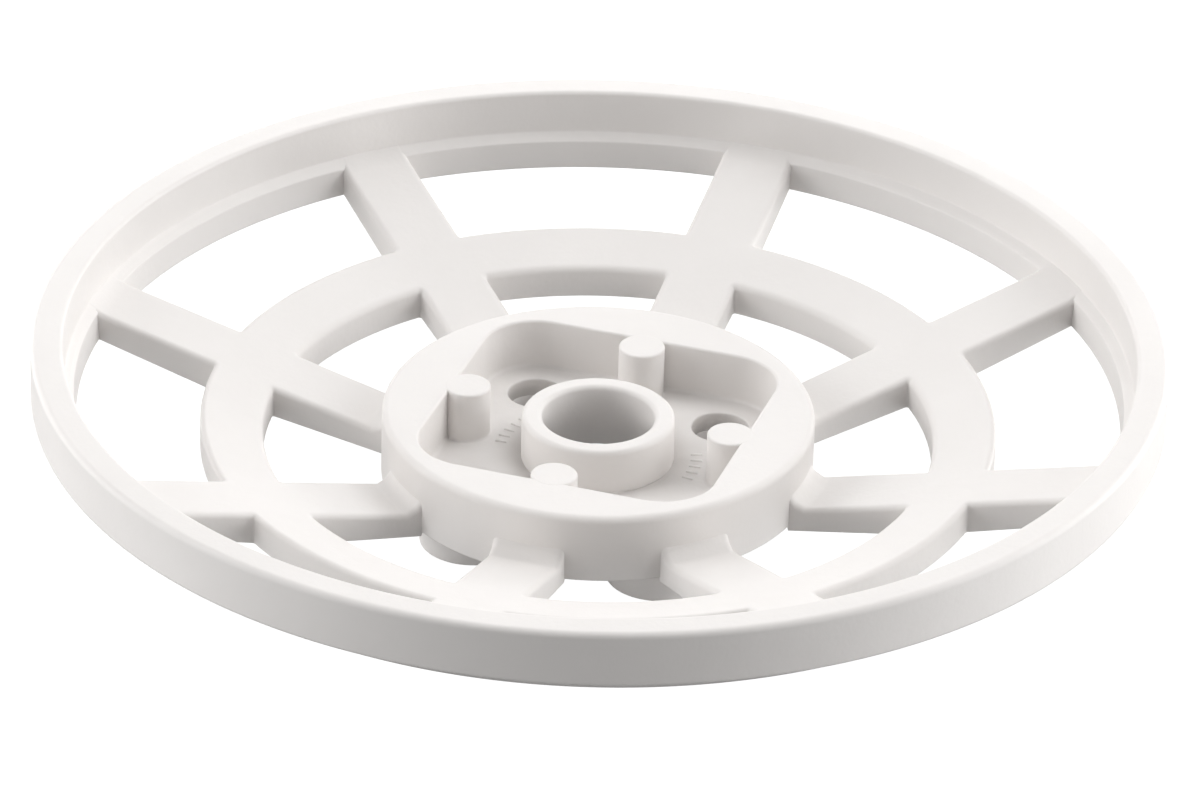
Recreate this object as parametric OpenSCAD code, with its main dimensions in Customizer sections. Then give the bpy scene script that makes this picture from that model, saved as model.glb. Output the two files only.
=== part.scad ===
// Film developing reel flange: one dished, spoked disc moulded in white plastic.
// Axis of the disc on Z, +Z up, open side of the hub upward.
// Origin on the axis, at the height of the lower ends of the four socket bosses.
// All lengths in millimetres.

/* [Rim] */
// Outside diameter of the disc
disc_d = 90; // [60:0.5:140]
// Radial thickness of the upstanding rim wall
rim_t = 2.6; // [2:0.1:5]
// Height of the outer face of the rim
rim_h = 4.6; // [3:0.1:10]
// Height of the lower outer edge of the rim above the socket ends
rim_z = 10.95; // [8:0.05:16]
// Width of the narrow ledge between rim wall and windows
ledge_w = 0.9; // [0.9:0.05:2]
// Depth of the window wall under the ledge
foot_h = 2.35; // [1.5:0.05:5]
// Width of the flat lower edge of the window wall
foot_w = 0.3; // [0.1:0.05:0.8]
// Rise of the web surface above the lower rim edge, where it meets the rim wall
ledge_rise = 0.575; // [0.5:0.025:1.5]
// Width of the sloped band that fills the corner between ledge and rim wall
band_w = 0.85; // [0.1:0.05:0.85]
// Height of that band up the rim wall
band_h = 0.4; // [0.1:0.05:1.5]

/* [Web] */
// Slope of the dished web, measured from the flat
dish_angle = 14.2; // [5:0.1:20]
// Thickness of the ring and of the spokes where they meet it, measured upright
web_t = 2.65; // [1.5:0.05:4]
// Number of spokes
spoke_n = 8; // [8:1:8]
// Width of one spoke
spoke_w = 5.9; // [3:0.1:8]
// Inside radius of the ring that ties the spokes together
ring_r1 = 26.6; // [22:0.1:30]
// Outside radius of the ring
ring_r2 = 31.6; // [28:0.1:36]
// Rise of a spoke's top where it runs into the hub
root_g = 1.2; // [0.4:0.1:2.5]
// Depth of a spoke's underside below the hub drum where it meets the hub
root_drop = 0.4; // [0:0.1:1]

/* [Hub] */
// Outside diameter of the hub drum
hub_d = 34.4; // [30:0.1:40]
// Height of the hub drum
hub_h = 5.7; // [4:0.1:10]
// Thickness of the pocket floor
floor_t = 1.5; // [1:0.1:3]
// Corner radius of the square pocket
pocket_r = 4.4; // [4.3:0.05:5.5]

/* [Collar] */
// Outside diameter of the spindle collar
collar_d = 12.2; // [10:0.1:13]
// Bore for the spindle
bore_d = 9.0; // [6:0.1:11]
// Drop of the collar top below the hub top
collar_drop = 0.45; // [0:0.05:2]

/* [Stacking] */
// Pitch circle diameter shared by pins and sockets
pitch_d = 22; // [20:0.1:23]
// Diameter of a drive pin
pin_d = 3.7; // [2.5:0.1:4]
// Amount the pins stand above the hub top
pin_proud = 0; // [0:0.05:1]
// Outside diameter of a socket boss
boss_d = 8.4; // [6:0.1:8.6]
// Bore of a socket
socket_d = 4.6; // [3.6:0.1:6]
// Length of a socket boss below the hub
boss_h = 3.65; // [2:0.05:6]

/* [Edges] */
// Chamfer on the exposed edges of rim, hub and collar
edge_c = 0.35; // [0.1:0.05:0.6]
// Chamfer on the ends of pins and bosses
pin_c = 0.2; // [0.05:0.05:0.4]
// Taper of the inner face of the rim wall
rim_draft = 0.05; // [0:0.05:0.4]

/* [Hidden] */
$fn = 128;
disc_r = disc_d / 2;
rim_r = disc_r - rim_t;
lip_r = rim_r - ledge_w;
rim_top = rim_z + rim_h;
hub_r = hub_d / 2;
hub_z = boss_h;
hub_top = hub_z + hub_h;
floor_top = hub_z + floor_t;
collar_top = hub_top - collar_drop;
pin_h = hub_top + pin_proud - floor_top;
pitch_r = pitch_d / 2;
spoke_step = 360 / spoke_n;
// Height at which the sloped web surface meets the rim wall.
ledge_z = rim_z + ledge_rise;
// Sockets stand on the X and Y axes, and pins halfway between them.
key_n = 4;
key_step = 360 / key_n;
pin_a0 = key_step / 2;
// Centre of a pocket corner, as an offset along each side of the square.
corner_o = pitch_r / sqrt(2);
corner_a0 = 45;
// Length by which a cutting or trimming body runs past the face it passes through.
over = 1;

// Height of the top surface of the web at radius r.
function web_z(r) = ledge_z - (rim_r - r) * tan(dish_angle);

// Point on a circle of radius r at angle a.
function polar(r, a) = [r * cos(a), r * sin(a)];

// Ring of web between two radii: sloped top and bottom, upright inner and outer faces.
module web_band(r1, r2, t1, t2) {
  rotate_extrude()
    polygon([[r1, web_z(r1) - t1], [r2, web_z(r2) - t2], [r2, web_z(r2)], [r1, web_z(r1)]]);
}

// Upright slab one spoke wide and higher than the disc, from the axis outward along +X.
module spoke_slab() {
  translate([0, -spoke_w / 2, -over])
    cube([disc_r, spoke_w, rim_top + 2 * over]);
}

// Upstanding rim wall with chamfered upper edges, a tapered inner face and a sloped band at its foot.
module rim_wall() {
  color("white")
    rotate_extrude()
      polygon([
        [rim_r - band_w, web_z(rim_r - band_w)],
        [rim_r, ledge_z],
        [disc_r, ledge_z],
        [disc_r, rim_top - edge_c],
        [disc_r - edge_c, rim_top],
        [rim_r + rim_draft + edge_c, rim_top],
        [rim_r + rim_draft, rim_top - edge_c],
        [rim_r, ledge_z + band_h]
      ]);
}

// Foot of the rim: carries the ledge and the outer wall of the windows, with a sloped underside.
module rim_foot() {
  color("white")
    rotate_extrude()
      polygon([
        [lip_r, web_z(lip_r) - foot_h],
        [lip_r + foot_w, web_z(lip_r) - foot_h],
        [disc_r - edge_c, rim_z],
        [disc_r, rim_z + edge_c],
        [disc_r, ledge_z],
        [rim_r, ledge_z],
        [lip_r, web_z(lip_r)]
      ]);
}

// Ring that ties the spokes together halfway out.
module web_ring() {
  color("white")
    web_band(ring_r1, ring_r2, web_t, web_t);
}

// Part of a spoke between the ring and the rim; i counts from 1.
module outer_spoke(i) {
  color("white")
    rotate([0, 0, (i - 1) * spoke_step])
      intersection() {
        web_band(ring_r2, lip_r, web_t, foot_h);
        spoke_slab();
      }
}

// Part of a spoke between the hub and the ring, with a raised root at the hub; i counts from 1.
module inner_spoke(i) {
  color("white")
    rotate([0, 0, (i - 1) * spoke_step])
      intersection() {
        rotate_extrude()
          polygon([
            [hub_r, hub_z - root_drop],
            [ring_r1, web_z(ring_r1) - web_t],
            [ring_r1, web_z(ring_r1)],
            [hub_r + root_g, web_z(hub_r + root_g)],
            [hub_r, web_z(hub_r) + root_g]
          ]);
        spoke_slab();
      }
}

// Plan of the square pocket: its four corners are arcs centred on the pitch circle.
module pocket_plan() {
  rotate(corner_a0) {
    square([2 * (corner_o + pocket_r), 2 * corner_o], center = true);
    square([2 * corner_o, 2 * (corner_o + pocket_r)], center = true);
  }
  for (i = [0 : key_n - 1])
    translate(polar(pitch_r, i * key_step))
      circle(r = pocket_r);
}

// Puts its child on the pitch circle at height z; a0 is the first one's angle and i counts from 1.
module key_place(a0, i, z) {
  translate(polar(pitch_r, a0 + (i - 1) * key_step))
    translate([0, 0, z])
      children();
}

// Drum wall of the hub, open through the middle and scalloped where the pins stand in it.
module hub_wall() {
  color("white")
    difference() {
      rotate_extrude()
        polygon([
          [0, hub_z],
          [hub_r, hub_z],
          [hub_r, hub_top - edge_c],
          [hub_r - edge_c, hub_top],
          [0, hub_top]
        ]);
      translate([0, 0, hub_z - over])
        linear_extrude(height = hub_h + 2 * over)
          pocket_plan();
      for (i = [1 : key_n])
        key_place(pin_a0, i, floor_top)
          cylinder(d = pin_d, h = hub_h);
    }
}

// Floor of the pocket, with the collar hole and the four socket holes.
module hub_floor() {
  color("white")
    difference() {
      translate([0, 0, hub_z])
        linear_extrude(height = floor_t)
          pocket_plan();
      translate([0, 0, hub_z - over])
        cylinder(d = collar_d, h = floor_t + 2 * over);
      for (i = [1 : key_n])
        key_place(0, i, hub_z - over)
          cylinder(d = socket_d, h = floor_t + 2 * over);
    }
}

// Collar around the spindle bore, chamfered inside and outside at the top.
module spindle_collar() {
  color("white")
    rotate_extrude()
      polygon([
        [bore_d / 2, hub_z],
        [collar_d / 2, hub_z],
        [collar_d / 2, collar_top - edge_c],
        [collar_d / 2 - edge_c, collar_top],
        [bore_d / 2 + edge_c, collar_top],
        [bore_d / 2, collar_top - edge_c]
      ]);
}

// Drive pin standing on the pocket floor, i counts from 1.
module drive_pin(i) {
  color("white")
    key_place(pin_a0, i, floor_top)
      rotate_extrude()
        polygon([
          [0, 0],
          [pin_d / 2, 0],
          [pin_d / 2, pin_h - pin_c],
          [pin_d / 2 - pin_c, pin_h],
          [0, pin_h]
        ]);
}

// Tubular socket boss hanging below the pocket floor, i counts from 1.
module socket(i) {
  color("white")
    key_place(0, i, 0)
      rotate_extrude()
        polygon([
          [socket_d / 2, 0],
          [boss_d / 2 - pin_c, 0],
          [boss_d / 2, pin_c],
          [boss_d / 2, boss_h],
          [socket_d / 2, boss_h]
        ]);
}

rim_wall();
rim_foot();
web_ring();
outer_spoke(1);  // outer_spoke_1
outer_spoke(2);  // outer_spoke_2
outer_spoke(3);  // outer_spoke_3
outer_spoke(4);  // outer_spoke_4
outer_spoke(5);  // outer_spoke_5
outer_spoke(6);  // outer_spoke_6
outer_spoke(7);  // outer_spoke_7
outer_spoke(8);  // outer_spoke_8
inner_spoke(1);  // inner_spoke_1
inner_spoke(2);  // inner_spoke_2
inner_spoke(3);  // inner_spoke_3
inner_spoke(4);  // inner_spoke_4
inner_spoke(5);  // inner_spoke_5
inner_spoke(6);  // inner_spoke_6
inner_spoke(7);  // inner_spoke_7
inner_spoke(8);  // inner_spoke_8
hub_wall();
hub_floor();
spindle_collar();
drive_pin(1);  // drive_pin_1
drive_pin(2);  // drive_pin_2
drive_pin(3);  // drive_pin_3
drive_pin(4);  // drive_pin_4
socket(1);  // socket_1
socket(2);  // socket_2
socket(3);  // socket_3
socket(4);  // socket_4
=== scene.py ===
"""Looks of the spoked reel disc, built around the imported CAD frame.

Meshes are worked out in millimetres, with upright Z along the spindle axis.
"""

import math

import bmesh
import bpy
import numpy as np
from mathutils import Matrix, Vector, geometry


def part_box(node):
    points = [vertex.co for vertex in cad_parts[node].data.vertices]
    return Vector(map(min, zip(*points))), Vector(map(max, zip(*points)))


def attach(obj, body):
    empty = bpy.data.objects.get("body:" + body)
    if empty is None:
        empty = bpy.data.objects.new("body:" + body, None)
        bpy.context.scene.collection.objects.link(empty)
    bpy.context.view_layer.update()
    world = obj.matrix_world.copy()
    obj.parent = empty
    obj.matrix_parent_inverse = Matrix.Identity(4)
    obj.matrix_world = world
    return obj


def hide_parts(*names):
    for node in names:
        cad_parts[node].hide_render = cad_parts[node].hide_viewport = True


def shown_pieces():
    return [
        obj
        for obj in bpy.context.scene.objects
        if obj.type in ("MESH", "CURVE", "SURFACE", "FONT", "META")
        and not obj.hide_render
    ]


MM = 0.001
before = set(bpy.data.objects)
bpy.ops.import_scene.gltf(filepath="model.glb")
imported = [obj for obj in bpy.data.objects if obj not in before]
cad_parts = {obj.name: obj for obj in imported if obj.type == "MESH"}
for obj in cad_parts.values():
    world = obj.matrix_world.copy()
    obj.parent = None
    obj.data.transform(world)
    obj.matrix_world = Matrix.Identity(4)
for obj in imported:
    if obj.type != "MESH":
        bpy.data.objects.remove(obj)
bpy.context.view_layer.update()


# ---------------------------------------------------------------- sizes, in millimetres

def box_mm(node):
    """Lowest and highest corner of a CAD node's box."""
    low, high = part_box(node)
    return np.array(low) / MM, np.array(high) / MM


_, rim_high = box_mm("rim_wall")
foot_low, foot_high = box_mm("rim_foot")
ring_low, ring_high = box_mm("web_ring")
outer_low, outer_high = box_mm("outer_spoke_1")
inner_low, inner_high = box_mm("inner_spoke_1")
hub_low, hub_high = box_mm("hub_wall")
_, floor_high = box_mm("hub_floor")
_, collar_high = box_mm("spindle_collar")
pin_low, pin_high = box_mm("drive_pin_1")
boss_low, boss_high = box_mm("socket_1")

# Rim: outside, top, ledge at the wall's foot, lowest edge, window side, inner face and lower edge
DISC_R = rim_high[0]
RIM_TOP = rim_high[2]
LEDGE_Z = foot_high[2]
LEDGE_W = 0.9
LEDGE_RISE = 0.575
FOOT_Z = foot_low[2]
FOOT_W = 0.3
LIP_R = outer_high[0]
WALL_R = LIP_R + LEDGE_W
RIM_Z = LEDGE_Z - LEDGE_RISE

# Web: the ring, the spokes and the slope of their top
RING_OUT = ring_high[0]
RING_IN = inner_high[0]
SPOKE_W = outer_high[1] - outer_low[1]
SPOKES = 8
DISH = (outer_high[2] - ring_high[2]) / (LIP_R - RING_OUT)
ROOT_RISE = 1.2
ROOT_FLARE = 0.2
BLEND_L = 1.6
BLEND_H = 0.4
TOP_PROUD = 0.015

# Hub: drum, pocket, collar, and the pins and holes that share one pitch circle
HUB_R = hub_high[0]
HUB_TOP = hub_high[2]
HUB_Z = hub_low[2]
FLOOR_TOP = floor_high[2]
COLLAR_R = collar_high[0]
COLLAR_TOP = collar_high[2]
BORE_R = 4.5
PIN_R = (pin_high[0] - pin_low[0]) / 2
PIN_PLACE = (pin_low + pin_high)[:2] / 2
BOSS_R = (boss_high[0] - boss_low[0]) / 2
PITCH_R = (boss_low[0] + boss_high[0]) / 2
KEYS = 4
SOCKET_R = 2.3
POCKET_R = 4.4
POCKET_HALF = PITCH_R / math.sqrt(2)

# Edges: rounding of upper edges and of lower edges, and the flat strip that ends each rounding
EDGE = 0.5
LOW_EDGE = 0.14
EASE = 0.06


def web_z(r):
    """Height of the sloped top of the web."""
    return ring_high[2] + (r - RING_OUT) * DISH


WEB_T = web_z(RING_IN) - ring_low[2]

# (radius, height) along the web's underside; both ends climb, to close inside the hub and inside the rim
WEB_LOW = [
    (HUB_R - 0.25, HUB_Z + 0.4),
    (HUB_R - 0.05, inner_low[2]),
    (RING_IN, ring_low[2]),
    (RING_OUT, web_z(RING_OUT) - WEB_T),
    (LIP_R, FOOT_Z),
    (LIP_R + 0.2, FOOT_Z + 0.05),
    (WALL_R + 0.2, FOOT_Z + 1.3),
]


def blend_z(r):
    """Height of the web's top with the concave blend that lifts it to the rim wall."""
    near = np.clip(1 - (WALL_R - r) / BLEND_L, 0, 1.1)
    return web_z(r) + BLEND_H * near**2


# ---------------------------------------------------------------- mesh helpers

def arc(centre, radius, a0, a1, count, into):
    """Points and unit normals along an arc; into is +1 where the normals point away from the centre."""
    t = np.linspace(a0, a1, count)
    d = np.stack([np.cos(t), np.sin(t)], 1)
    return np.asarray(centre) + radius * d, into * d


def line(p, q, normal, count):
    """Points between p and q, ends left out, with one normal."""
    t = np.linspace(0, 1, count + 2)[1:-1, None]
    points = np.asarray(p) * (1 - t) + np.asarray(q) * t
    return points, np.tile(normal, (count, 1))


def join(*parts):
    """One run of points and normals made of several."""
    return np.concatenate([p for p, _ in parts]), np.concatenate([n for _, n in parts])


def tail(part):
    """A run of points and normals without its first one."""
    return part[0][1:], part[1][1:]


def turn(points, angle):
    """Points turned about the axis; heights, where they have them, stay."""
    c, s = math.cos(angle), math.sin(angle)
    out = np.array(points, float)
    out[..., 0], out[..., 1] = (
        points[..., 0] * c - points[..., 1] * s,
        points[..., 0] * s + points[..., 1] * c,
    )
    return out


def edge_steps(radius, count):
    """(inset, drop) pairs of a quarter-round edge, from the flat face to the upright one."""
    steps = [(radius + EASE, 0.0)]
    for t in np.linspace(0, math.pi / 2, count + 1):
        steps.append((radius - radius * math.sin(t), radius - radius * math.cos(t)))
    return steps


class Shell:
    """Collects grids of vertices in millimetres and turns them into one Blender mesh."""

    def __init__(self):
        self.verts = []
        self.faces = []

    def add(self, points, faces, flip=False):
        """Takes in vertices and the faces between them; flip turns the faces over."""
        base = len(self.verts)
        self.verts.extend(map(tuple, points))
        for f in faces:
            ids = [base + int(i) for i in f]
            self.faces.append(ids[::-1] if flip else ids)

    def grid(self, rows, flip=False, closed=False):
        """rows[i][j] is a vertex; closed joins the last column to the first."""
        rows = np.asarray(rows, float)
        n, m = rows.shape[:2]
        faces = []
        for i in range(n - 1):
            for j in range(m if closed else m - 1):
                k = (j + 1) % m
                faces.append((i * m + j, i * m + k, (i + 1) * m + k, (i + 1) * m + j))
        self.add(rows.reshape(-1, 3), faces, flip)

    def fill(self, loops, z, inside, flip=False):
        """Flat face at height z between closed plan loops."""
        points, edges = [], []
        for loop in loops:
            base = len(points)
            points.extend(Vector(p) for p in loop)
            n = len(loop)
            edges.extend((base + i, base + (i + 1) % n) for i in range(n))
        made = geometry.delaunay_2d_cdt(points, edges, [], 0, 1e-5)
        verts, faces = made[0], made[2]
        kept = []
        for f in faces:
            x = sum(verts[i].x for i in f) / len(f)
            y = sum(verts[i].y for i in f) / len(f)
            if inside(x, y):
                kept.append(f)
        self.add([(v.x, v.y, z) for v in verts], kept, flip)

    def copies(self, count, mirror=False):
        """Repeats everything so far round the axis, after an optional mirror about X."""
        if mirror:
            pts = np.array(self.verts) * (1, -1, 1)
            self.add(pts, list(self.faces), flip=True)
        pts, faces = np.array(self.verts), list(self.faces)
        for k in range(1, count):
            self.add(turn(pts, 2 * math.pi * k / count), faces)

    def build(self, name, body="root"):
        """Welds the grids into one mesh object, with round stretches shaded smooth and big flats flat."""
        mesh = bpy.data.meshes.new(name)
        mesh.from_pydata([tuple(c * MM for c in v) for v in self.verts], [], self.faces)
        bm = bmesh.new()
        bm.from_mesh(mesh)
        bmesh.ops.remove_doubles(bm, verts=bm.verts, dist=2e-7)
        loose = [v for v in bm.verts if not v.link_faces]
        bmesh.ops.delete(bm, geom=loose, context="VERTS")
        rim = [e for e in bm.edges if e.is_boundary]
        if rim:
            bmesh.ops.holes_fill(bm, edges=rim, sides=0)
        bmesh.ops.recalc_face_normals(bm, faces=bm.faces)
        for f in bm.faces:
            f.smooth = len(f.verts) < 12
        bm.to_mesh(mesh)
        bm.free()
        obj = bpy.data.objects.new(name, mesh)
        bpy.context.scene.collection.objects.link(obj)
        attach(obj, body)
        return obj


def lathe(shell, profile, segments, centre=(0, 0)):
    """Turns a closed (radius, height) profile about the upright line through centre."""
    profile = np.array(profile, float)
    t = np.linspace(0, 2 * math.pi, segments, endpoint=False)
    rows = []
    for r, z in np.concatenate([profile, profile[:1]]):
        rows.append(
            np.stack([centre[0] + r * np.cos(t), centre[1] + r * np.sin(t), np.full(segments, z)], 1)
        )
    shell.grid(rows, closed=True)


def quarter(cr, cz, radius, a0, a1, count):
    """Profile points on an arc about (cr, cz), with the angles in degrees."""
    t = np.radians(np.linspace(a0, a1, count + 1))
    return [(cr + radius * math.cos(a), cz + radius * math.sin(a)) for a in t]


# ---------------------------------------------------------------- pieces

def make_rim():
    """Upstanding wall, its rounded top, the concave ledge and lip at its foot, and the underside."""
    top_out, top_in, lip, low = 0.5, 0.35, 0.22, 0.3
    lip_draft, wall_draft = 0.08, 0.05
    lip_top, lip_low = LIP_R + lip_draft, LIP_R - lip_draft
    lip_z = float(blend_z(lip_top))
    wall_top = WALL_R + wall_draft
    profile = quarter(DISC_R - top_out, RIM_TOP - top_out, top_out, 0, 90, 8)
    profile += [(DISC_R - top_out - EASE, RIM_TOP), (wall_top + top_in + EASE, RIM_TOP)]
    profile += quarter(wall_top + top_in, RIM_TOP - top_in, top_in, 90, 180, 8)
    profile += [(wall_top, RIM_TOP - top_in - EASE), (WALL_R, float(blend_z(WALL_R)) + EASE)]
    profile += [(r, float(blend_z(r))) for r in np.linspace(WALL_R, lip_top + lip + EASE, 6)]
    profile += quarter(lip_top + lip, lip_z - lip + 0.02, lip, 110, 180, 4)
    profile += [(lip_top, lip_z - lip - EASE), (lip_low, FOOT_Z + LOW_EDGE + EASE)]
    profile += quarter(lip_low + LOW_EDGE, FOOT_Z + LOW_EDGE, LOW_EDGE, 180, 270, 3)
    profile += [(LIP_R + FOOT_W, FOOT_Z), (DISC_R - low, RIM_Z)]
    profile += quarter(DISC_R - low, RIM_Z + low, low, 300, 360, 4)
    profile += [(DISC_R, RIM_Z + low + EASE), (DISC_R, RIM_TOP - top_out - EASE)]
    shell = Shell()
    lathe(shell, profile, 288)
    obj = shell.build("rim_ring")
    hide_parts("rim_wall", "rim_foot")


def web_top(p):
    """Top of the spokes and ring, curving up into the hub and the rim, just proud of the rim's ledge."""
    r = np.hypot(p[..., 0], p[..., 1])
    near = np.clip(1 - (r - HUB_R) / ROOT_RISE, 0, 1.25)
    return blend_z(r) + ROOT_RISE * near**2 + TOP_PROUD


def web_low(p):
    """Underside of the spokes and ring."""
    r = np.hypot(p[..., 0], p[..., 1])
    return np.interp(r, *zip(*WEB_LOW))


def corner(radius, side, fillet, outside):
    """Centre of a plan fillet between the spoke's side and a circle about the axis."""
    v = side + fillet
    reach = radius + fillet if outside else radius - fillet
    return np.array([math.sqrt(reach**2 - v**2), v])


def web_outlines():
    """Half outlines of one spoke sector, from the spoke's end to the middle of the window.

    One runs round the inner window and one round the outer. Each comes with the index of the middle of
    its ring corner, where the spoke's side turns into the ring's.
    """
    side = SPOKE_W / 2
    ring_corner, corner_points, arc_points = 0.16, 7, 18
    after_corner = arc_points - 1 + (corner_points + 1) // 2
    half = math.pi / SPOKES
    root_r = HUB_R - 0.2
    c1 = corner(root_r, side, ROOT_FLARE, True)
    c2 = corner(RING_IN, side, ring_corner, False)
    a1, a2 = math.atan2(c1[1], c1[0]), math.atan2(c2[1], c2[0])
    near_hub = c1[0] + 0.5
    inner = join(
        arc(c1, ROOT_FLARE, a1 - math.pi, -math.pi / 2, 12, 1),
        line((c1[0], side), (near_hub, side), (0.0, -1.0), 6),
        line((near_hub, side), (c2[0], side), (0.0, -1.0), 12),
        arc(c2, ring_corner, -math.pi / 2, a2, corner_points, 1),
        tail(arc((0, 0), RING_IN, a2, half, arc_points, 1)),
    )
    c3 = corner(RING_OUT, side, ring_corner, True)
    a3 = math.atan2(c3[1], c3[0])
    end, near_rim = WALL_R + 0.15, LIP_R - 1
    outer = join(
        (np.array([[end, side]]), np.array([[0.0, -1.0]])),
        line((end, side), (near_rim, side), (0.0, -1.0), 10),
        line((near_rim, side), (c3[0], side), (0.0, -1.0), 10),
        arc(c3, ring_corner, -math.pi / 2, a3 - math.pi, corner_points, 1),
        tail(arc((0, 0), RING_OUT, a3, half, arc_points, -1)),
    )
    return inner, len(inner[0]) - after_corner, outer, len(outer[0]) - after_corner


def make_web():
    """Eight spokes and the ring that ties them, with rounded edges, filleted corners and raised roots."""
    inner, mid_in, outer, mid_out = web_outlines()
    shell = Shell()
    top_steps = edge_steps(EDGE, 6)
    low_steps = edge_steps(LOW_EDGE, 3)
    plate_inset = top_steps[0][0]
    across_n, strips_n = 8, 7

    for outline, flip in ((inner, False), (outer, True)):
        points, normals = outline
        rows = []
        for inset, drop in top_steps:
            p = points + normals * inset
            rows.append(np.column_stack([p, web_top(p) - drop]))
        low = []
        for inset, drop in [(plate_inset, 0.0)] + low_steps:
            p = points + normals * inset
            low.append(np.column_stack([p, web_low(p) + drop]))
        shell.grid(rows + low[::-1], flip)

    def plates(surface, flip):
        """Half a sector's face inside its rounded edges: spoke, crossing and ring."""
        p_in = inner[0] + inner[1] * plate_inset
        p_out = outer[0] + outer[1] * plate_inset
        t = np.linspace(0, 1, across_n + 1)[:, None]

        def across(p):
            return np.array([p[0], 0.0]) * (1 - t) + p * t

        def lift(grid):
            grid = np.asarray(grid)
            return np.concatenate([grid, surface(grid)[..., None]], -1)

        inner_part = [across(p) for p in p_in[: mid_in + 1]]
        outer_part = [across(p) for p in p_out[: mid_out + 1]]
        shell.grid(lift(inner_part), flip)
        shell.grid(lift(outer_part), not flip)
        s = np.linspace(0, 1, strips_n + 1)[:, None, None]
        shell.grid(lift(inner_part[-1][None] * (1 - s) + outer_part[-1][None] * s), flip)
        shell.grid(lift(p_in[mid_in:][None] * (1 - s) + p_out[mid_out:][None] * s), flip)

    plates(web_top, False)
    plates(web_low, True)
    shell.copies(SPOKES, mirror=True)
    obj = shell.build("web")
    spokes = [f"{kind}_spoke_{i}" for kind in ("inner", "outer") for i in range(1, SPOKES + 1)]
    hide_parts("web_ring", *spokes)


def pocket_outline(grow):
    """Closed plan outline of the pocket, moved outward by grow."""
    flat = math.pi / 4
    points = []
    for k in range(KEYS):
        a = k * math.pi / 2
        centre = PITCH_R * np.array([math.cos(a), math.sin(a)])
        points.append(arc(centre, POCKET_R + grow, a - flat, a + flat, 20, 1)[0])
        n = np.array([math.cos(a + flat), math.sin(a + flat)])
        t = np.array([-n[1], n[0]])
        face = n * (POCKET_HALF + POCKET_R + grow)
        points.append(line(face - t * POCKET_HALF, face + t * POCKET_HALF, (0.0, 0.0), 22)[0])
    return np.concatenate(points)


def circle(r, count, centre=(0, 0)):
    """Points evenly spaced round a circle in plan."""
    t = np.linspace(0, 2 * math.pi, count, endpoint=False)
    return np.stack([centre[0] + r * np.cos(t), centre[1] + r * np.sin(t)], 1)


def in_pocket(x, y, grow):
    """Whether a point in plan is inside the pocket's outline moved outward by grow."""
    u, v = (x + y) / math.sqrt(2), (y - x) / math.sqrt(2)
    du, dv = max(abs(u) - POCKET_HALF, 0), max(abs(v) - POCKET_HALF, 0)
    return math.hypot(du, dv) < POCKET_R + grow


def add_ticks(shell):
    """Two groups of short raised bars on the pocket floor, in place of mould lettering."""
    bars, step = 5, 7
    r0, r1, half, rise, taper, sunk = 7.4, 8.4, 0.15, 0.09, 0.06, 0.1
    box = [(0, 1, 2, 3), (7, 6, 5, 4), (0, 4, 5, 1), (1, 5, 6, 2), (2, 6, 7, 3), (3, 7, 4, 0)]
    for middle in (126, 322):
        for k in range(bars):
            low = np.array([(r0, -half), (r0, half), (r1, half), (r1, -half)])
            top = low + taper * np.array([(1, 1), (1, -1), (-1, -1), (-1, 1)])
            corners = [(x, y, FLOOR_TOP - sunk) for x, y in low]
            corners += [(x, y, FLOOR_TOP + rise) for x, y in top]
            angle = math.radians(middle + (k - (bars - 1) / 2) * step)
            shell.add(turn(np.array(corners), angle), box)


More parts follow.
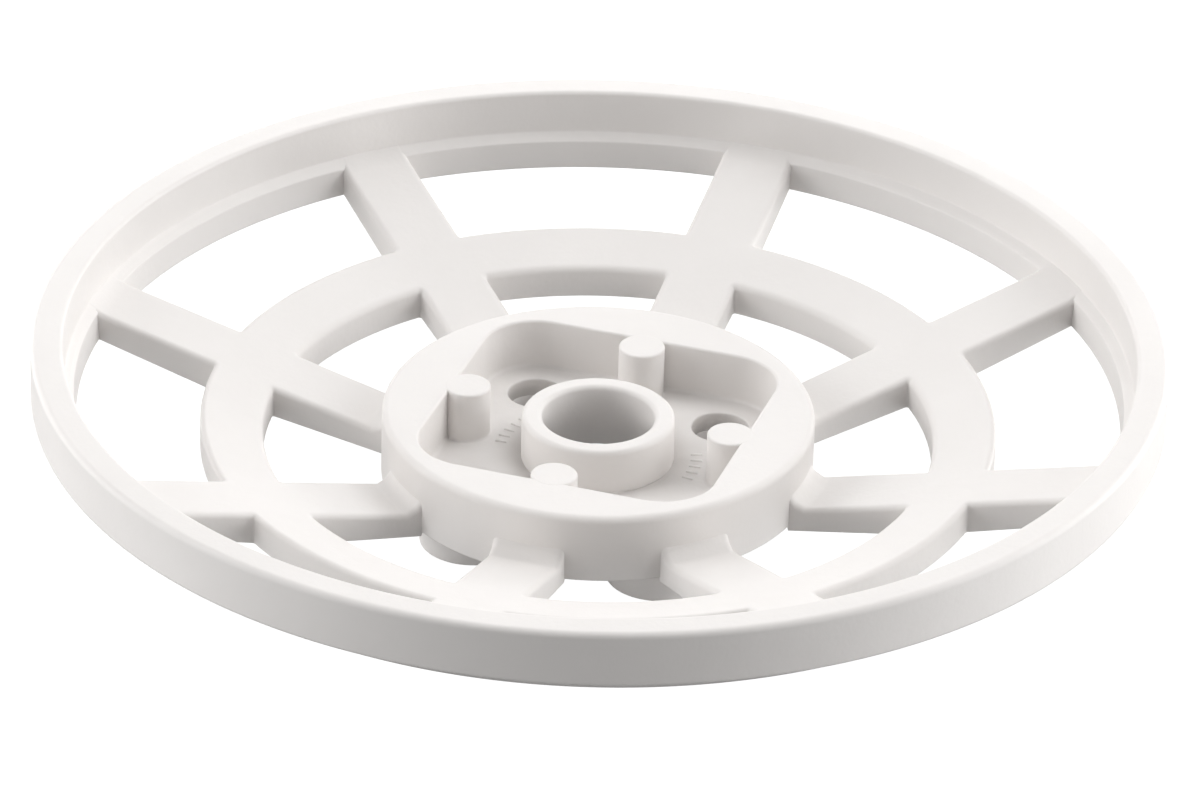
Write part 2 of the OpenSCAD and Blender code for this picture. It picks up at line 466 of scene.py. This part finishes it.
def make_hub():
    """Drum with rounded edges, the square pocket in its top, the pocket's floor and the underside."""
    shell = Shell()
    edge_out, edge_in, cove, draft = 0.55, 0.22, 0.3, 0.02
    n, hole_n, middle_n = 160, 64, 96
    side = [
        (HUB_R - edge_out - EASE, HUB_TOP),
        *quarter(HUB_R - edge_out, HUB_TOP - edge_out, edge_out, 90, 0, 8),
        (HUB_R, HUB_TOP - edge_out - EASE),
        (HUB_R, HUB_Z + LOW_EDGE + EASE),
        *quarter(HUB_R - LOW_EDGE, HUB_Z + LOW_EDGE, LOW_EDGE, 0, -90, 3),
        (HUB_R - LOW_EDGE - EASE, HUB_Z),
    ]
    shell.grid([np.column_stack([circle(r, n), np.full(n, z)]) for r, z in side], closed=True)
    wall = [(inset, HUB_TOP - drop) for inset, drop in edge_steps(edge_in, 6)]
    wall += [(0.0, HUB_TOP - edge_in - EASE), (-draft, FLOOR_TOP + cove + EASE)]
    wall += [(-draft - cove * (1 - math.cos(t)), FLOOR_TOP + cove * (1 - math.sin(t)))
             for t in np.linspace(0, math.pi / 2, 6)]
    wall += [(-draft - cove - EASE, FLOOR_TOP)]
    loops = [pocket_outline(g) for g, _ in wall]
    shell.grid([np.column_stack([p, np.full(len(p), z)]) for p, (_, z) in zip(loops, wall)], closed=True)
    shell.fill([circle(side[0][0], n), loops[0]], HUB_TOP, lambda x, y: not in_pocket(x, y, wall[0][0]))

    hole_edge = 0.12
    holes = []
    for k in range(KEYS):
        a = k * math.pi / 2
        centre = (PITCH_R * math.cos(a), PITCH_R * math.sin(a))
        steps = [(SOCKET_R + g, FLOOR_TOP - d) for g, d in edge_steps(hole_edge, 3)]
        steps += [(SOCKET_R, FLOOR_TOP - hole_edge - EASE), (SOCKET_R, HUB_Z)]
        holes.append((centre, steps[0][0]))
        rows = [np.column_stack([circle(r, hole_n, centre), np.full(hole_n, z)]) for r, z in steps]
        shell.grid(rows, closed=True)
    middle = COLLAR_R - 0.05
    well = [np.column_stack([circle(middle, middle_n), np.full(middle_n, z)]) for z in (FLOOR_TOP, HUB_Z)]
    shell.grid(well, closed=True)

    def clear(x, y, grow):
        """Whether a point in plan is outside the collar's well and the four holes."""
        if math.hypot(x, y) < middle:
            return False
        return all(math.hypot(x - c[0], y - c[1]) > r + grow for c, r in holes)

    floor_loops = [loops[-1], circle(middle, middle_n)] + [circle(r, hole_n, c) for c, r in holes]
    grow = wall[-1][0]
    shell.fill(floor_loops, FLOOR_TOP, lambda x, y: in_pocket(x, y, grow) and clear(x, y, 0))
    low_loops = [circle(side[-1][0], n), circle(middle, middle_n)]
    low_loops += [circle(SOCKET_R, hole_n, c) for c, _ in holes]
    shell.fill(low_loops, HUB_Z, lambda x, y: clear(x, y, SOCKET_R - holes[0][1]), flip=True)
    add_ticks(shell)
    obj = shell.build("hub_drum")
    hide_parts("hub_wall", "hub_floor")


def make_collar():
    """Short tube round the spindle bore, with a rounded mouth."""
    out, inn = 0.42, 0.4
    low_r, high_r = BORE_R - 0.05, BORE_R - 0.02
    profile = [
        (low_r, HUB_Z),
        (high_r, COLLAR_TOP - inn - EASE),
        *quarter(high_r + inn, COLLAR_TOP - inn, inn, 180, 90, 8),
        (high_r + inn + EASE, COLLAR_TOP),
        (COLLAR_R - out - EASE, COLLAR_TOP),
        *quarter(COLLAR_R - out, COLLAR_TOP - out, out, 90, 0, 8),
        (COLLAR_R, COLLAR_TOP - out - EASE),
        (COLLAR_R, FLOOR_TOP - EASE),
        (COLLAR_R, HUB_Z),
    ]
    shell = Shell()
    lathe(shell, profile, 128)
    obj = shell.build("collar")
    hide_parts("spindle_collar")


def make_pins():
    """Four round pins that stand on the pocket floor and run a little into its walls."""
    cove, tip, skirt, sunk = 0.18, 0.16, 0.1, 0.3
    top = HUB_TOP + 0.01
    profile = [
        (0.0, FLOOR_TOP - sunk),
        (PIN_R + cove + skirt, FLOOR_TOP - sunk),
        (PIN_R + cove + skirt, FLOOR_TOP - 0.01),
        *quarter(PIN_R + cove, FLOOR_TOP + cove, cove, 270, 180, 4),
        (PIN_R, FLOOR_TOP + cove + EASE),
        (PIN_R, top - tip - EASE),
        *quarter(PIN_R - tip, top - tip, tip, 0, 90, 5),
        (PIN_R - tip - EASE, top),
        (PIN_R * 0.5, top),
        (0.0, top),
    ]
    for k in range(KEYS):
        place = turn(PIN_PLACE, k * math.pi / 2)
        shell = Shell()
        lathe(shell, profile, 64, place)
        obj = shell.build(f"pin_{k + 1}")
        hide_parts(f"drive_pin_{k + 1}")


def make_bosses():
    """Four tubular bosses under the hub, round the four through holes."""
    edge = 0.2
    profile = [
        (SOCKET_R, HUB_Z),
        (SOCKET_R, edge + EASE),
        *quarter(SOCKET_R + edge, edge, edge, 180, 270, 4),
        (SOCKET_R + edge + EASE, 0.0),
        (BOSS_R - edge - EASE, 0.0),
        *quarter(BOSS_R - edge, edge, edge, 270, 360, 4),
        (BOSS_R, edge + EASE),
        (BOSS_R, HUB_Z),
    ]
    for k in range(KEYS):
        place = turn(np.array([PITCH_R, 0.0]), k * math.pi / 2)
        shell = Shell()
        lathe(shell, profile, 64, place)
        obj = shell.build(f"boss_{k + 1}")
        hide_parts(f"socket_{k + 1}")


# ---------------------------------------------------------------- material

def plastic():
    """Matte white moulded plastic with a fine grain and slight unevenness."""
    mat = bpy.data.materials.new("white_moulded_plastic")
    mat.use_nodes = True
    nodes, links = mat.node_tree.nodes, mat.node_tree.links
    shader = nodes["Principled BSDF"]
    coord = nodes.new("ShaderNodeTexCoord")

    def noise(scale, detail):
        n = nodes.new("ShaderNodeTexNoise")
        n.inputs["Scale"].default_value = scale
        n.inputs["Detail"].default_value = detail
        links.new(coord.outputs["Object"], n.inputs["Vector"])
        return n.outputs["Fac"]

    def remap(value, low, high):
        m = nodes.new("ShaderNodeMapRange")
        m.inputs["From Min"].default_value = 0.3
        m.inputs["From Max"].default_value = 0.7
        m.inputs["To Min"].default_value = low
        m.inputs["To Max"].default_value = high
        links.new(value, m.inputs["Value"])
        return m.outputs["Result"]

    ramp = nodes.new("ShaderNodeMix")
    ramp.data_type = "RGBA"
    ramp.inputs["A"].default_value = (0.812, 0.786, 0.767, 1)
    ramp.inputs["B"].default_value = (0.842, 0.816, 0.797, 1)
    links.new(remap(noise(90, 3), 0, 1), ramp.inputs["Factor"])
    links.new(ramp.outputs["Result"], shader.inputs["Base Color"])
    links.new(remap(noise(700, 2), 0.46, 0.56), shader.inputs["Roughness"])
    shader.inputs["IOR"].default_value = 1.49
    normal = None
    for scale, height in ((450, 0.00003), (2600, 0.00001)):
        bump = nodes.new("ShaderNodeBump")
        bump.inputs["Distance"].default_value = height
        links.new(noise(scale, 2), bump.inputs["Height"])
        if normal:
            links.new(normal, bump.inputs["Normal"])
        normal = bump.outputs["Normal"]
    links.new(normal, shader.inputs["Normal"])
    return mat


make_rim()
make_web()
make_hub()
make_collar()
make_pins()
make_bosses()
white = plastic()
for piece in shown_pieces():
    piece.data.materials.clear()
    piece.data.materials.append(white)


# ---------------------------------------------------------------- camera

def add_camera():
    """Long lens, about 30 degrees above the horizon, with the slight tilt of the reference view."""
    azimuth, elevation, roll = math.radians(-27.33), math.radians(29.54), math.radians(-1.58)
    distance, centre_z, shift_right, shift_up, unit = 0.72362, 0.00812, 0.0031, 0.0397, 0.045226
    back = Vector((math.sin(azimuth) * math.cos(elevation), -math.cos(azimuth) * math.cos(elevation),
                   math.sin(elevation)))
    right0 = Vector((math.cos(azimuth), math.sin(azimuth), 0))
    up0 = back.cross(right0)
    c, s = math.cos(roll), math.sin(roll)
    right, up = c * right0 - s * up0, s * right0 + c * up0
    target = Vector((0, 0, centre_z)) + (shift_right * right + shift_up * up) * unit
    data = bpy.data.cameras.new("camera")
    data.sensor_width = 36
    data.lens = 273.2
    cam = bpy.data.objects.new("camera", data)
    bpy.context.scene.collection.objects.link(cam)
    axes = Matrix((right, up, back)).transposed().to_4x4()
    cam.matrix_world = Matrix.Translation(target + back * distance) @ axes
    bpy.context.scene.camera = cam
    return azimuth


view_azimuth = add_camera()


# ---------------------------------------------------------------- floor and light

def add_floor():
    """Bright white ground that only the camera sees."""
    mesh = bpy.data.meshes.new("floor")
    half = 3.0
    corners = [(-half, -half, 0), (half, -half, 0), (half, half, 0), (-half, half, 0)]
    mesh.from_pydata(corners, [], [(0, 1, 2, 3)])
    obj = bpy.data.objects.new("floor", mesh)
    bpy.context.scene.collection.objects.link(obj)
    mat = bpy.data.materials.new("floor")
    mat.use_nodes = True
    shader = mat.node_tree.nodes["Principled BSDF"]
    shader.inputs["Base Color"].default_value = (0.15, 0.15, 0.15, 1)
    shader.inputs["Roughness"].default_value = 0.9
    shader.inputs["Specular IOR Level"].default_value = 0.0
    shader.inputs["Emission Color"].default_value = (1, 1, 1, 1)
    shader.inputs["Emission Strength"].default_value = 1.0
    mesh.materials.append(mat)
    obj.visible_diffuse = False
    obj.visible_glossy = False
    obj.visible_shadow = False


def add_bounce_card():
    """Pale card under the hub that evens the light inside its holes; the camera can't see it."""
    shell = bmesh.new()
    bmesh.ops.create_circle(shell, cap_ends=True, segments=48, radius=0.016)
    mesh = bpy.data.meshes.new("bounce_card")
    shell.to_mesh(mesh)
    shell.free()
    mat = bpy.data.materials.new("bounce_card")
    mat.use_nodes = True
    mat.node_tree.nodes["Principled BSDF"].inputs["Base Color"].default_value = (0.85, 0.85, 0.85, 1)
    mesh.materials.append(mat)
    obj = bpy.data.objects.new("bounce_card", mesh)
    obj.location = (0, 0, -0.0004)
    obj.visible_camera = False
    bpy.context.scene.collection.objects.link(obj)


def add_light(name, azimuth, elevation, size, power):
    """Square soft light that looks at the object; azimuth 0 is the camera's side, and 90 its right."""
    a, e = math.radians(azimuth) + view_azimuth, math.radians(elevation)
    away = Vector((math.sin(a) * math.cos(e), -math.cos(a) * math.cos(e), math.sin(e)))
    data = bpy.data.lights.new(name, "AREA")
    data.size = size
    data.energy = power
    obj = bpy.data.objects.new(name, data)
    obj.rotation_mode = "QUATERNION"
    obj.location = away * 0.6
    obj.rotation_quaternion = away.to_track_quat("Z", "Y")
    bpy.context.scene.collection.objects.link(obj)


def add_world(above, below):
    """Even light from the upper half of the surroundings, and a weaker one from the lower half."""
    world = bpy.data.worlds.new("studio")
    world.use_nodes = True
    nodes, links = world.node_tree.nodes, world.node_tree.links
    coord = nodes.new("ShaderNodeTexCoord")
    split = nodes.new("ShaderNodeSeparateXYZ")
    links.new(coord.outputs["Generated"], split.inputs["Vector"])
    ramp = nodes.new("ShaderNodeMapRange")
    ramp.inputs["From Min"].default_value = -0.05
    ramp.inputs["From Max"].default_value = 0.05
    ramp.inputs["To Min"].default_value = below
    ramp.inputs["To Max"].default_value = above
    links.new(split.outputs["Z"], ramp.inputs["Value"])
    links.new(ramp.outputs["Result"], nodes["Background"].inputs["Strength"])
    nodes["Background"].inputs["Color"].default_value = (1, 1, 1, 1)
    bpy.context.scene.world = world


add_floor()
add_bounce_card()
add_world(0.26, 0.12)

# Name, azimuth and elevation in degrees, size in metres, power in watts
LIGHTS = [
    ("right_rear_high", 120, 60, 0.45, 1.3),
    ("left_rear_high", 240, 60, 0.45, 0.5),
    ("right", 90, 22, 0.45, 1.8),
    ("rear", 180, 22, 0.45, 0.9),
    ("left", 270, 22, 0.45, 2.3),
    ("front_right_low", 45, 2, 0.35, 0.5),
    ("right_rear_low", 135, 2, 0.35, 1.75),
    ("left_rear_low", 225, 2, 0.35, 0.8),
    ("right_bounce", 90, -20, 0.45, 1.3),
    ("left_bounce", 270, -20, 0.45, 0.9),
    ("front_left_bounce", 315, -20, 0.45, 0.4),
]
for light in LIGHTS:
    add_light(*light)
bpy.context.scene.view_settings.view_transform = "Standard"
